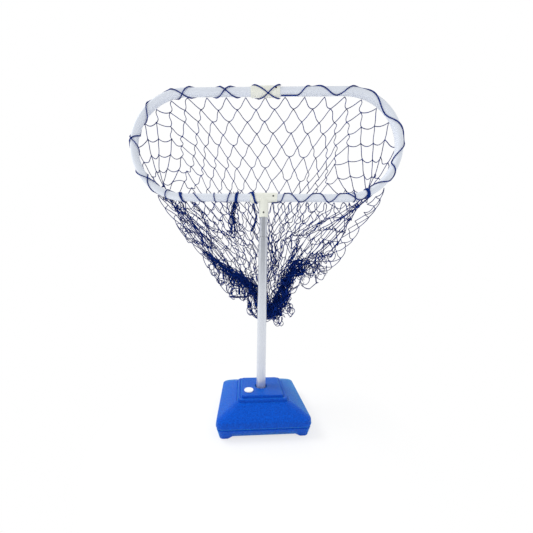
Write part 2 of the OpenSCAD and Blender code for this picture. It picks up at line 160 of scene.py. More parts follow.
def glow_material(name):
    """A material with no nodes yet, which is no lamp to any ray, and its node tree."""
    mat = bpy.data.materials.new(name)
    mat.use_nodes = True
    mat.cycles.emission_sampling = "NONE"
    mat.node_tree.nodes.clear()
    return mat, mat.node_tree


def plain_plane(name, corners, mat):
    mesh = bpy.data.meshes.new(name)
    mesh.from_pydata(corners, [], [(0, 1, 2, 3)])
    mesh.materials.append(mat)
    obj = placed(name, mesh)
    return obj


def add_floor():
    """White to the camera and in reflections, most of all away from the object, whose shadow it keeps."""
    mat, tree = glow_material("floor_paint")
    paint = node(tree, "BsdfDiffuse", Color=FLOOR_PAINT)
    glow = node(tree, "Emission", Strength=1.0)
    far = node(tree, "VectorMath", _0=node(tree, "TexCoord").outputs["Object"])
    far.operation = "LENGTH"
    away = node(tree, "MapRange", Value=far.outputs["Value"], From_Min=FLOOR_NEAR, From_Max=FLOOR_FAR,
                To_Min=FLOOR_SHARE, To_Max=1.0)
    share = maths(tree, "MULTIPLY", direct_ray(tree), away.outputs["Result"])
    mix = node(tree, "MixShader", _0=share, _1=paint.outputs[0], _2=glow.outputs[0])
    node(tree, "OutputMaterial", Surface=mix.outputs[0])
    r = FLOOR_REACH
    plain_plane("floor", [(-r, -r, 0), (r, -r, 0), (r, r, 0), (-r, r, 0)], mat)


def add_card(name, corners, tone):
    """A card that only reflections show."""
    mat, tree = glow_material(name)
    node(tree, "OutputMaterial", Surface=node(tree, "Emission", Color=tone).outputs[0])
    card = plain_plane(name, corners, mat)
    card.visible_camera = card.visible_diffuse = card.visible_shadow = False
    card.visible_transmission = card.visible_volume_scatter = False


def add_cards():
    """High in front, so that the post is darker towards its top, and overhead, for the base's slopes."""
    y, low, high, half = -2.4, 0.78, 5.0, 5.0
    add_card("card_front", [(-half, y, low), (half, y, low), (half, y, high), (-half, y, high)], FRONT_TONE)
    z, w, y0, y1 = 3.4, 2.0, -1.2, 2.0
    add_card("card_over", [(-w, y0, z), (w, y0, z), (w, y1, z), (-w, y1, z)], OVER_TONE)


# ---------- materials ----------

# Name, dark and light sRGB tones and the scale of their drift, roughness and how far it drifts, scale and
# height of the bumps, and how metallic it is
PLAIN = {
    "cap": ("white_plastic", (240, 240, 238), (250, 250, 249), 40, 0.38, 0.05, 700, 0.00005),
    "ivory": ("ivory_plastic", (236, 237, 225), (241, 242, 230), 30, 0.32, 0.05, 500, 0.00005),
    "metal": ("satin_metal", (214, 218, 225), (220, 224, 231), 12, 0.34, 0.03, 60, 0.00001, 0.6),
    "dark": ("dark_plastic", (38, 38, 40), (48, 48, 50), 40, 0.45, 0.06, 900, 0.00006),
    "grey": ("grey_plastic", (150, 151, 154), (162, 163, 166), 40, 0.42, 0.05, 900, 0.00005),
    "steel": ("zinc_steel", (92, 92, 94), (118, 118, 120), 120, 0.36, 0.08, 600, 0.00004, 1.0)}
PAINT = ("white_paint", (222, 227, 235), (227, 232, 240), 6, 0.26, 0.03, 30, 0.00001)
BLUE = ("blue_plastic", (1, 62, 168), (3, 90, 208), 240, 0.42, 0.03)
# Name, dark and light tones, and the pitch of the cord's lay
NET_CORD = ("net_cord", (1, 28, 101), (3, 56, 160), 0.009)
LACE_CORD = ("lace_cord", (3, 34, 112), (8, 58, 152), 0.011)
STRANDS, LAY_DEPTH = 3, 0.0005


def linear(r, g, b):
    """Linear colour of an sRGB one in 0 to 255."""
    def one(c):
        c /= 255
        return c / 12.92 if c <= 0.04045 else ((c + 0.055) / 1.055) ** 2.4
    return one(r), one(g), one(b), 1.0


def noise(tree, coord, scale, detail):
    return node(tree, "TexNoise", Vector=coord, Scale=scale, Detail=detail).outputs["Fac"]


def material(name, dark, light, scale, rough, rough_span, bump_scale=0, bump=0, metallic=0.0, **sockets):
    """Principled material: its colour drifts between two tones, its roughness and height by noise."""
    mat = bpy.data.materials.new(name)
    mat.use_nodes = True
    tree = mat.node_tree
    coord = node(tree, "TexCoord").outputs["Object"]
    drift = noise(tree, coord, scale, 3)
    tone = node(tree, "ValToRGB", Fac=drift)
    for stop, position, colour in zip(tone.color_ramp.elements, (0.3, 0.7), (dark, light)):
        stop.position, stop.color = position, linear(*colour)
    spread = node(tree, "MapRange", Value=drift, To_Min=rough - rough_span, To_Max=rough + rough_span)
    put(tree, tree.nodes["Principled BSDF"], Base_Color=tone.outputs["Color"], Metallic=metallic,
        Roughness=spread.outputs["Result"], **sockets)
    if bump:
        set_height(tree, noise(tree, coord, bump_scale, 4), bump)
    return mat


def set_height(tree, height, distance, **inputs):
    """Bumps of the material's surface."""
    raised = node(tree, "Bump", Height=height, Distance=distance, **inputs)
    put(tree, tree.nodes["Principled BSDF"], Normal=raised.outputs["Normal"])


def pebble(mat, scale, height, fine_scale, fine_height):
    """Fine pebbles of a blow mould: cells under a light noise."""
    tree = mat.node_tree
    coord = node(tree, "TexCoord").outputs["Object"]
    cells = node(tree, "TexVoronoi", Vector=coord, Scale=scale)
    cells.feature = "SMOOTH_F1"
    first = node(tree, "Bump", Height=cells.outputs["Distance"], Distance=height)
    first.invert = True
    set_height(tree, noise(tree, coord, fine_scale, 2), fine_height, Normal=first.outputs["Normal"])


def cord_material(name, dark, light, pitch):
    """Twisted cord: the UV's first value runs along it in metres, the second goes round it."""
    mat = material(name, dark, light, 60, 0.62, 0.08, Sheen_Weight=0.04, Sheen_Roughness=0.4,
                   Sheen_Tint=(0.2, 0.35, 0.9, 1), Specular_IOR_Level=0.12)
    tree = mat.node_tree
    uv = node(tree, "UVMap")
    uv.uv_map = "cord"
    split = node(tree, "SeparateXYZ", _0=uv.outputs[0]).outputs
    along = maths(tree, "MULTIPLY", split[0], 2 * math.pi / pitch)
    turn = maths(tree, "MULTIPLY", split[1], 2 * math.pi * STRANDS)
    set_height(tree, maths(tree, "SINE", maths(tree, "ADD", along, turn)), LAY_DEPTH)
    return mat


def make_materials():
    m = {key: material(*row) for key, row in PLAIN.items()}
    m["paint"] = material(*PAINT, Specular_IOR_Level=0.3)
    m["blue"] = material(*BLUE, Specular_IOR_Level=0.12, Sheen_Weight=0.6, Sheen_Roughness=0.3,
                         Sheen_Tint=(0.10, 0.95, 0.90, 1))
    pebble(m["blue"], 280, 0.0011, 1400, 0.0002)
    m["net"] = cord_material(*NET_CORD)
    m["lace"] = cord_material(*LACE_CORD)
    return m


# ---------- meshes ----------


def piece(name, verts, faces, mat, body, uvs=None, sharp=None):
    """A smooth mesh from arrays: faces has one row of corners each, all of one length."""
    verts, faces = np.asarray(verts, np.float32), np.asarray(faces, np.int32)
    sides = faces.shape[1]
    mesh = bpy.data.meshes.new(name)
    mesh.vertices.add(len(verts))
    mesh.vertices.foreach_set("co", verts.ravel())
    mesh.loops.add(faces.size)
    mesh.loops.foreach_set("vertex_index", faces.ravel())
    mesh.polygons.add(len(faces))
    mesh.polygons.foreach_set("loop_start", np.arange(0, faces.size, sides, dtype=np.int32))
    mesh.update(calc_edges=True)
    if uvs is not None:
        layer = mesh.uv_layers.new(name="cord")
        layer.data.foreach_set("uv", np.asarray(uvs, np.float32)[faces.ravel()].ravel())
    mesh.shade_smooth()
    if sharp is not None:
        mesh.set_sharp_from_angle(angle=math.radians(sharp))
    mesh.validate()
    obj = placed(name, mesh)
    mesh.materials.append(mat)
    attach(obj, body)
    return obj


def grid_faces(rows, cols):
    """Quads between rows of cols points, each row closed into a ring."""
    r, c = np.meshgrid(np.arange(rows - 1), np.arange(cols), indexing="ij")
    n = (c + 1) % cols
    return np.stack([r * cols + c, r * cols + n, (r + 1) * cols + n, (r + 1) * cols + c], -1).reshape(-1, 4)


def unit(v):
    return v / np.maximum(np.linalg.norm(v, axis=-1, keepdims=True), 1e-9)


def circle(steps):
    """Angles once round."""
    return 2 * np.pi * np.arange(steps) / steps


def lengths(paths):
    """Length along each path up to each of its points."""
    steps = np.linalg.norm(np.diff(paths, axis=-2), axis=-1)
    return np.concatenate([np.zeros_like(steps[..., :1]), np.cumsum(steps, -1)], -1)


def cord_uvs(along, sides):
    """UVs of rings at those lengths: metres along the cord, and 0 to 1 and back to 0 round it."""
    around = np.abs((np.arange(sides) / sides + 0.5) % 1 - 0.5) * 2
    return np.stack(np.broadcast_arrays(along[..., None], around), -1).reshape(-1, 2)


def tubes(paths, radius, sides, flat):
    """Round tubes along many paths of equal length at once: points, quads and UVs.
    paths is (many, points, 3), and flat holds a direction square to each path's plane."""
    many, n, _ = paths.shape
    t = unit(np.gradient(paths, axis=1))
    e1 = unit(flat[:, None, :] - np.sum(flat[:, None, :] * t, -1, keepdims=True) * t)
    e2 = np.cross(t, e1)
    a = circle(sides)
    ring = np.cos(a)[:, None] * e1[:, :, None, :] + np.sin(a)[:, None] * e2[:, :, None, :]
    verts = (paths[:, :, None, :] + ring * radius).reshape(-1, 3)
    faces = (grid_faces(n, sides)[None] + (np.arange(many) * n * sides)[:, None, None]).reshape(-1, 4)
    return verts, faces, cord_uvs(lengths(paths), sides)


def cord_tube(path, r, sides=10):
    """One round cord along a path that turns every way, with narrowed ends."""
    t = unit(np.gradient(path, axis=0))
    normal = np.zeros_like(path)
    normal[0] = unit(np.cross(t[0], [0.3, 1, 0.2]))
    for i in range(1, len(path)):
        normal[i] = unit(normal[i - 1] - (normal[i - 1] @ t[i]) * t[i])
    side = np.cross(t, normal)
    radii = np.full((len(path), 1, 1), r)
    radii[0] = radii[-1] = 0.3 * r
    a = circle(sides)[None, :, None]
    ring = path[:, None] + radii * (np.cos(a) * normal[:, None] + np.sin(a) * side[:, None])
    return ring.reshape(-1, 3), grid_faces(len(path), sides), cord_uvs(lengths(path), sides)


def join(parts):
    """Several (points, quads, UVs) as one."""
    verts, faces, uvs, base = [], [], [], 0
    for v, f, w in parts:
        verts.append(v)
        faces.append(f + base)
        uvs.append(w)
        base += len(v)
    return np.concatenate(verts), np.concatenate(faces), np.concatenate(uvs)


def arc(cx, cz, r, a0, a1, n):
    """Points of an arc in (radius, z), angles in degrees."""
    a = np.radians(np.linspace(a0, a1, n))
    return [(cx + r * math.cos(t), cz + r * math.sin(t)) for t in a]


def turned(profile, steps, at=(0, 0)):
    """Rings about an upright axis at (x, y), one for each (radius, z) of the profile."""
    a = circle(steps)
    return [np.column_stack([at[0] + r * np.cos(a), at[1] + r * np.sin(a), np.full(steps, z)])
            for r, z in profile]


def closed_loft(name, rings, mat=None):
    """A solid through rings of points, closed at both ends. One with no material is a cutter, shaded flat."""
    n = len(rings[0])
    faces = [tuple(f) for f in grid_faces(len(rings), n)]
    faces.append(tuple(range(n - 1, -1, -1)))
    faces.append(tuple((len(rings) - 1) * n + i for i in range(n)))
    mesh = bpy.data.meshes.new(name)
    mesh.from_pydata([tuple(v) for v in np.concatenate(rings)], [], faces)
    if mat:
        mesh.shade_smooth()
        mesh.materials.append(mat)
    return placed(name, mesh)


def subtract(obj, tools):
    """Cuts the tools away and removes them."""
    for tool in tools:
        mod = obj.modifiers.new("cut", "BOOLEAN")
        mod.operation, mod.solver, mod.object = "DIFFERENCE", "EXACT", tool
    graph = bpy.context.evaluated_depsgraph_get()
    mesh = bpy.data.meshes.new_from_object(obj.evaluated_get(graph))
    obj.modifiers.clear()
    obj.data = mesh
    for tool in tools:
        bpy.data.objects.remove(tool)


# ---------- base ----------

BASE_H, BASE_WALL, BASE_TURN = 0.108, 0.0035, math.radians(6)
FOOT_H, FOOT_INNER, FOOT_SLOPE = 0.008, 0.112, 0.012
SKIRT_TOP, EDGE_LIFT, LEAST_CORNER = 0.030, 0.0022, 0.004
SOCKET_R, MOUTH_R, SOCKET_Z = 0.01908, 0.0255, 0.014
FILLER_R, PLUG_AT = 0.013, (-0.052, -0.040)
PLUG_R, PLUG_H, PLUG_STEM = 0.0185, 0.005, 0.016
ROUND_STEPS = 96

# Outer profile from the underside up: half width, corner radius, height, rounding
BASE_PROFILE = [
    (0.1570, 0.0160, FOOT_H, 0.006), (0.1670, 0.0250, 0.0325, 0.002), (0.1640, 0.0220, 0.0350, 0.0015),
    (0.1668, 0.0248, 0.0375, 0.002), (0.1700, 0.0280, 0.0420, 0.004), (0.1680, 0.0270, 0.0600, 0.003),
    (0.1340, 0.0240, 0.0775, 0.020), (0.1005, 0.0185, 0.0905, 0.0015), (0.0978, 0.0150, 0.0890, 0.001),
    (0.0960, 0.0135, 0.0905, 0.001), (0.0950, 0.0130, 0.1003, 0.004), (0.0865, 0.0112, 0.0996, 0.001),
    (0.0838, 0.0110, 0.0984, 0.001), (0.0822, 0.0110, 0.0998, 0.001), (0.0812, 0.0110, BASE_H, 0.004),
    (0.0720, 0.0080, BASE_H, 0.001)]
# Rings of the underside, by how far inside the profile's start they lie
UNDER_INSETS = [0.0035, 0.006, 0.012, 0.02, 0.03, 0.038, 0.042, 0.046, 0.050, 0.055, 0.07, 0.10, 0.13]
# The tank's inside, from below: half width, corner radius, height
HOLLOW_PROFILE = [(0.1535, 0.013, 0.0115), (0.1575, 0.0155, 0.035), (0.1605, 0.0185, 0.052),
                  (0.0905, 0.008, 0.0870), (0.0795, 0.007, 0.0955), (0.0700, 0.006, BASE_H - BASE_WALL)]
# Cutters, as (radius, height): the column round the socket, the socket with its mouth, and the filler hole
COLUMN = [(SOCKET_R + BASE_WALL, 0.0), (SOCKET_R + BASE_WALL + 0.004, 0.2)]
SOCKET = [(SOCKET_R, SOCKET_Z), (SOCKET_R, 0.0985), (0.0198, 0.1002), *arc(0.0212, 0.1022, 0.0022, 250, 350, 5),
          *arc(MOUTH_R + 0.0015, 0.1062, 0.0018, 180, 95, 6), (MOUTH_R + 0.0030, BASE_H + 0.0001),
          (MOUTH_R + 0.004, 0.12)]
FILLER = [(FILLER_R, 0.085), (FILLER_R, BASE_H - 0.0008), (FILLER_R + 0.0008, BASE_H), (FILLER_R + 0.0009, 0.12)]


def rounded(levels, steps=6):
    """Levels with each corner of the profile rounded by a short curve."""
    p = np.array([l[:3] for l in levels])
    out = [p[0]]
    for i in range(1, len(p) - 1):
        cut = levels[i][3]
        back, on = p[i - 1] - p[i], p[i + 1] - p[i]
        lb, lo = np.linalg.norm(back[[0, 2]]), np.linalg.norm(on[[0, 2]])
        cut = min(cut, 0.45 * lb, 0.45 * lo)
        a, b = p[i] + back * cut / lb, p[i] + on * cut / lo
        for t in np.linspace(0, 1, steps):
            out.append((1 - t) ** 2 * a + 2 * t * (1 - t) * p[i] + t ** 2 * b)
    return np.array(out + [p[-1]])


def square_ring(half, r, corner=12, side=28):
    """Points of a rounded square, counterclockwise, with sides cut finely."""
    turn = np.array([[0, -1], [1, 0]])
    t = (np.arange(side) / side)[:, None]
    t = 0.65 * t + 0.35 * t * t * (3 - 2 * t)
    pts = []
    for k in range(4):
        a = 0.5 * math.pi * np.arange(corner) / corner
        bend = np.stack([half - r + r * np.cos(a), half - r + r * np.sin(a)], -1)
        straight = np.array([half - r, half]) + t * np.array([-2 * (half - r), 0])
        pts.append(np.concatenate([bend, straight]) @ np.linalg.matrix_power(turn, k).T)
    return np.concatenate(pts)


def ease(a, b, x):
    """0 up to a, 1 from b on, and smooth between them."""
    t = np.clip((x - a) / (b - a), 0, 1)
    return t * t * (3 - 2 * t)


def foot_share(xy):
    """1 over a foot and 0 away from the feet."""
    u = ease(FOOT_INNER, FOOT_INNER + FOOT_SLOPE, np.abs(xy))
    return u[:, 0] * u[:, 1]


def base_shell():
    """Rings of the outer skin: the sides drop into the feet at the corners, and the underside closes it."""
    rings = []
    for half, r, z in rounded(BASE_PROFILE):
        xy = square_ring(half, r)
        low = np.clip((SKIRT_TOP - z) / (SKIRT_TOP - FOOT_H), 0, 1) ** 0.8
        rings.append(np.column_stack([xy, z - foot_share(xy) * FOOT_H * low]))
    # the lower edge is rounded: the first wall ring stands a little above the foot's flat
    rings[0][:, 2] += EDGE_LIFT
    half, r = BASE_PROFILE[0][:2]
    for inset in UNDER_INSETS:
        xy = square_ring(half - inset, max(LEAST_CORNER, r - inset))
        rings.insert(0, np.column_stack([xy, FOOT_H - foot_share(xy) * FOOT_H]))
    return rings


def add_base(m):
    """The tank: its skin, less its inside round the socket's column, less the socket and the filler hole."""
    tank = closed_loft("tank", base_shell(), m["blue"])
    inside = []
    for half, r, z in HOLLOW_PROFILE:
        xy = square_ring(half, r)
        inside.append(np.column_stack([xy, np.full(len(xy), z)]))
    hollow = closed_loft("hollow", inside, m["blue"])
    subtract(hollow, [closed_loft("column", turned(COLUMN, ROUND_STEPS))])
    subtract(tank, [hollow, closed_loft("socket", turned(SOCKET, ROUND_STEPS)),
                    closed_loft("filler", turned(FILLER, ROUND_STEPS, PLUG_AT))])
    tank.data.set_sharp_from_angle(angle=math.radians(38))
    tank.data.transform(Matrix.Rotation(BASE_TURN, 4, "Z"))
    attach(tank, "base")
    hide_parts("base_tank")


def add_plug(m):
    """Low domed cap with a rim bead, on a stem with a sealing ridge."""
    stem, foot = FILLER_R - 0.0003, -PLUG_STEM
    p = [(0, foot + 0.0015), (stem - 0.003, foot + 0.0015), (stem - 0.003, foot), (stem - 0.0012, foot),
         (stem - 0.0003, foot + 0.0012), (stem - 0.0003, -0.0065), (stem, -0.0058), (stem, -0.0048),
         (stem - 0.0003, -0.0042), (stem - 0.0003, 0.0001), (PLUG_R - 0.0006, 0.0001),
         *arc(PLUG_R - 0.0016, 0.0016, 0.0016, -60, 0, 4),
         *arc(PLUG_R - 0.0018, PLUG_H - 0.0020, 0.0018, 0, 100, 7), (PLUG_R - 0.0040, PLUG_H - 0.0004),
         (PLUG_R - 0.0052, PLUG_H - 0.0009), (0.006, PLUG_H - 0.0007), (0, PLUG_H - 0.0006)]
    turn = Matrix.Rotation(BASE_TURN, 4, "Z") @ Matrix.Translation((*PLUG_AT, BASE_H))
    verts = np.concatenate(turned(p, ROUND_STEPS)) @ np.array(turn.to_3x3()).T + np.array(turn.translation)
    plug = piece("plug", verts, grid_faces(len(p), ROUND_STEPS), m["cap"], "plug", sharp=35)
    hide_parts("fill_plug")


# ---------- hoop, fittings, post ----------


def rim(s):
    """Point [x, z] of the hoop's centre line at station s: sides 0 top, 1 right, 2 bottom, 3 left."""
    t = np.mod(s, 4.0)
    side = np.floor(t)
    f = t - side
    sides = [side == 0, side == 1, side == 2]
    x = np.select(sides, [BEND_X * (2 * f - 1), BEND_X + BEND_R * np.sin(np.pi * f), BEND_X * (1 - 2 * f)],
                  -BEND_X - BEND_R * np.sin(np.pi * f))
    z = np.select(sides, [TOP_Z + 0 * f, MID_Z + BEND_R * np.cos(np.pi * f), HOOP_Z + 0 * f],
                  MID_Z - BEND_R * np.cos(np.pi * f))
    return np.stack([x, z], -1)


def rim_out(s):
    """Direction [x, z] out of the hoop at station s."""
    d = rim(np.asarray(s) + 0.002) - rim(np.asarray(s) - 0.002)
    return unit(np.stack([-d[..., 1], d[..., 0]], -1))


def on_tube(s, angle, r):
    """Point at radius r from the tube's axis; angle 0 is outward, 90 behind, -90 in front."""
    p, o, a = rim(s), rim_out(s), np.radians(angle)
    return np.stack([p[..., 0] + r * np.cos(a) * o[..., 0], r * np.sin(a) + 0 * p[..., 0],
                     p[..., 1] + r * np.cos(a) * o[..., 1]], -1)


TOP_GAP, LOW_GAP = 0.001 / BEND_X, 0.004 / BEND_X
HOOP_STEPS, BEND_STEPS = 40, 97


def add_hoop(m):
    """Two bent tubes with their walls, from the coupling's stop to the tee's."""
    a = 360 * np.arange(HOOP_STEPS) / HOOP_STEPS
    for half, first, near, far, last, around in (
            ("hoop_right", 0.5 + TOP_GAP, 1, 2, 2.5 - LOW_GAP, a),
            ("hoop_left", 4.5 - TOP_GAP, 4, 3, 2.5 + LOW_GAP, a[::-1])):
        s = np.concatenate([np.linspace(first, near, 4)[:-1], np.linspace(near, far, BEND_STEPS),
                            np.linspace(far, last, 4)[1:]])[:, None]
        outer, inner = (on_tube(s, around, r) for r in (TUBE_R, TUBE_R - TUBE_WALL))
        rings = np.concatenate([outer, inner[::-1], outer[:1]])
        faces = grid_faces(len(rings), HOOP_STEPS)
        tube = piece(half + "_tube", rings.reshape(-1, 3), faces, m["paint"], "head", sharp=40)
        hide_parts(half)


def dress(obj, mat, bevel):
    """A CAD node keeps its shape and gets its material, and a small bevel on its edges."""
    obj.data.materials.clear()
    obj.data.materials.append(mat)
    if bevel:
        mod = obj.modifiers.new("edges", "BEVEL")
        mod.width, mod.segments, mod.limit_method = bevel, 3, "ANGLE"
        mod.angle_limit = math.radians(35)
        mod.harden_normals = True


# Shank and pan head from the tip up, as (radius, height)
SCREW = [(0.0006, -0.0086), (0.00175, -0.007), (0.00175, 0), (0.0035, 0), *arc(0.0023, 0.0009, 0.0012, 0, 75, 6),
         (0.0012, 0.0022)]
# A slot of the cross recess, from its floor up: half length, half width, height
SLOT = [(0.0009, 0.00028, 0.0008), (0.0020, 0.0004, 0.003)]
SCREW_STEPS, CROSS_TURN = 48, 0.3


def add_screws(m):
    """Pan heads with a cross recess, on their shanks."""
    spots = [(TEE_END - SCREW_INSET, HOOP_Z), (0, STEM_Z + SCREW_INSET), (COUPLING_END - SCREW_INSET, TOP_Z)]
    for i, (x, z) in enumerate(spots):
        screw = closed_loft(f"screw_{i}", turned(SCREW, SCREW_STEPS), m["steel"])
        slots = []
        for turn in (CROSS_TURN, CROSS_TURN + math.pi / 2):
            c, s = math.cos(turn), math.sin(turn)
            slots.append(closed_loft("slot", [np.array([(-w, -d, h), (w, -d, h), (w, d, h), (-w, d, h)]) @
                                              np.array([[c, s, 0], [-s, c, 0], [0, 0, 1]])
                                              for w, d, h in SLOT], m["steel"]))
        subtract(screw, slots)
        screw.data.set_sharp_from_angle(angle=math.radians(35))
        screw.data.transform(Matrix.Translation((x, -FITTING_R, z)) @ Matrix.Rotation(math.pi / 2, 4, "X"))
        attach(screw, "head")
        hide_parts("fitting_screws")


# Nodes that show themselves: material, and width of the bevel
DRESSED = {
    "lower_post": ("metal", 0.0003), "upper_post": ("metal", 0), "post_bush": ("grey", 0.0004),
    "post_foot_plug": ("dark", 0.0004), "post_glide": ("grey", 0), "lock_boss": ("metal", 0.0005),
    "lock_screw": ("steel", 0), "lock_knob": ("dark", 0.0008), "tee_fitting": ("ivory", 0.0008),
    "top_coupling": ("ivory", 0.0008)}


def add_hard_parts(m):
    add_base(m)
    add_plug(m)
    add_hoop(m)
    add_screws(m)
    for node_name, (key, bevel) in DRESSED.items():
        dress(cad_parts[node_name], m[key], bevel)


# ---------- net ----------

# Columns of meshes along the two bends and the top, and along the lower tube, and half rows of knots
UPPER, LOWER, ROWS = 24, 18, 24
COLS = UPPER + LOWER
BAR, FIRM_BAR, CORD_R, KNOT_R, RIM_R = 0.066, 0.0625, 0.0016, 0.0026, TUBE_R + 0.002
SEED, KNOT_CORD_R = 4, 0.8 * CORD_R
# The fold that gathers the net's slack, left end to right end, and the bag's outline, in the photograph's pixels
FOLD_UV = [(209, 258), (219, 266), (233, 273), (247, 281), (258, 294), (264, 306), (272, 313), (279, 306), (284, 295),
           (287, 281), (294, 268), (303, 264), (326, 268)]
FOLD_SHARE = [0, 0.07, 0.16, 0.27, 0.38, 0.47, 0.56, 0.65, 0.74, 0.81, 0.88, 0.94, 1]
FOLD_Y, FOLD_DEEP = 0.088, 0.022
BAG_UV = [(134, 150), (146, 182), (160, 196), (169, 211), (177, 225), (189, 243), (201, 252), (207, 263), (213, 275),
          (219, 285), (229, 296), (238, 302), (247, 314), (256, 321), (266, 325), (279, 326), (289, 317), (297, 304),
          (305, 293), (320, 281), (333, 268), (343, 257), (353, 241), (360, 227), (371, 216), (379, 205), (390, 188),
          (402, 150)]
BAG_Y, BACK_Y, KNOB_CLEAR, KNOB_Y = 0.09, 0.19, 0.030, 0.046
# Where the net leaves the tube, in degrees from outward: at the top and at the bottom
HANG_TOP, HANG_LOW = 150, 35
# How the bag draws in from the rim to the fold, by station of the rim: above 1 it stays wide for longer
TAPER_AT = [0, 0.17, 0.5, 0.83, 1, 1.1, 1.25, 1.5, 1.8, 2, 3, 3.2, 3.5, 3.75, 3.9, 4]
TAPER = [0.92, 1.1, 1.25, 1.1, 0.92, 0.85, 0.76, 0.66, 1.3, 1.4, 1.2, 1.1, 0.66, 0.76, 0.85, 0.92]
BELLY_BACK, BELLY_FRONT = 0.075, 0.018
# Height of a mesh as a share of its bars' length: in the back, in front, and the least of all
PULL_BACK, PULL_FRONT, PULL_LEAST = 0.895, 0.70, 0.3
# Below these heights the net stays behind the lower tube, clear of the post and inside the bag's outline
TUBE_BELOW, POST_BELOW, OUTLINE_BELOW = 0.93, 0.92, 1.0
TUBE_Y, FRONT_Y, OUTLINE_REACH = 0.024, -0.02, 0.12
# Settling: steps, fall of a step, pull back to the start, speed kept, passes over the bars, push, least bar
STEPS, FALL, HOLD, KEEP, PASSES, PUSH, LEAST_BAR = 60, 0.00003, 0.03, 0.9, 6, 1.5, 0.010
# Spread of the heap along the fold, the share of its knots that hang loose, and how far the bars sag and wave
HEAP_AT = [0, 0.3, 0.45, 0.6, 0.7, 0.85, 0.92, 1]
HEAP_SPREAD = [0.011, 0.012, 0.017, 0.023, 0.022, 0.016, 0.024, 0.036]
LOOSE, MOST_SAG, MOST_WAVE = 0.10, 0.022, 0.013
# Slack meshes hanging out of the fold: from and to which share of it, how many, how long
HUNG = [(0.03, 0.50, 26, 0.105), (0.84, 1.0, 16, 0.080)]
# Bunches of cord: points in the photograph's pixels, depth, cords, spread
BUNCHES = [([(238, 192), (235, 203), (232, 216), (233, 234)], 0.035, 14, 0.0055),
           ([(236, 203), (230, 215), (236, 226), (231, 238)], 0.038, 4, 0.005),
           ([(253, 203), (257, 216), (252, 231)], 0.040, 5, 0.004),
           ([(179, 197), (185, 212), (200, 233), (208, 250)], 0.050, 6, 0.006),
           ([(191, 201), (202, 214), (208, 230), (212, 252)], 0.050, 4, 0.006),
           ([(300, 240), (296, 252), (290, 263)], 0.060, 5, 0.006),
           ([(206, 253), (218, 263), (233, 271), (247, 279), (257, 288)], 0.070, 16, 0.009),
           ([(301, 260), (293, 265), (286, 280), (282, 295), (275, 311)], 0.080, 20, 0.014),
           ([(290, 276), (280, 290), (275, 302), (272, 313)], 0.090, 12, 0.017),
           ([(240, 283), (239, 295)], 0.080, 5, 0.003),
           ([(229.5, 296.3), (238, 297), (247, 297)], 0.080, 6, 0.003),
           ([(248, 297), (250, 310), (257, 318), (266, 321)], 0.080, 8, 0.005)]
# Loose meshes along lines of the photograph: from (u, v) to (u, v), count, size
CURLS = [(306, 264, 312, 288, 8, 0.024), (316, 258, 322, 276, 6, 0.026), (326, 250, 332, 262, 3, 0.030),
         (179, 225, 190, 241, 4, 0.018), (208, 263, 218, 282, 6, 0.022),
         (222, 284, 240, 297, 8, 0.022), (250, 306, 258, 317, 6, 0.016), (284, 300, 290, 312, 6, 0.018),
         (264, 314, 280, 321, 8, 0.018)]
# Knots of the open meshes along both sides of the bag, in the photograph's pixels
SELVEDGES = [[(384, 188), (380, 199), (376, 208), (369, 217), (359, 227), (353, 239), (345, 247), (341, 258),
              (332, 267), (321, 272)],
             [(158, 195), (165, 208), (175, 220), (182, 233), (193, 244), (203, 256), (208, 268)]]
SELVEDGE_HEART = (275, 240)

FOLD_LINE = np.array([seen(u, v, FOLD_Y) for u, v in FOLD_UV])
BAG_EDGE = np.array([seen(u, v, BAG_Y)[[0, 2]] for u, v in BAG_UV])


def fold_at(share, back=0.0):
    """Point of the fold at that share of it, in its front or its back."""
    x, y, z = (np.interp(share, FOLD_SHARE, FOLD_LINE[:, i]) for i in range(3))
    return np.stack([x, y + FOLD_DEEP * back, z], -1)


def station(u):
    """Station of column u: wide meshes on the bends and the top, close ones on the lower tube."""
    u = np.mod(u, COLS)
    t = 3 * u / UPPER
    side = np.floor(t)
    f = t - side
    rise, fall = np.arcsin(np.clip(2 * f, 0, 1)), math.pi - np.arcsin(np.clip(2 - 2 * f, 0, 1))
    level = np.where(f < 0.5, rise, fall) / math.pi
    f = np.where(side == 1, f, 0.65 * f + 0.35 * level)
    return np.where(u < UPPER, 3 + side + f, 6 + (u - UPPER) / LOWER)


def layer(u):
    """Share across the bag, 0 left to 1 right, and how far the column lies in the back."""
    span = UPPER * 2 / 3
    u = np.mod(u - UPPER / 6, COLS)
    share = np.where(u < span, u / span, 1 - (u - span) / (COLS - span))
    return share, np.where(u < span, 1, -1) * np.sin(math.pi * share) ** 0.7


def hang_angle(s):
    """Where the net leaves the tube: behind and inside at the top, behind and outside at the bottom."""
    return np.interp(np.mod(s, 4.0), [0, 1, 2, 3, 4], [HANG_TOP, HANG_TOP, HANG_LOW, HANG_LOW, HANG_TOP])


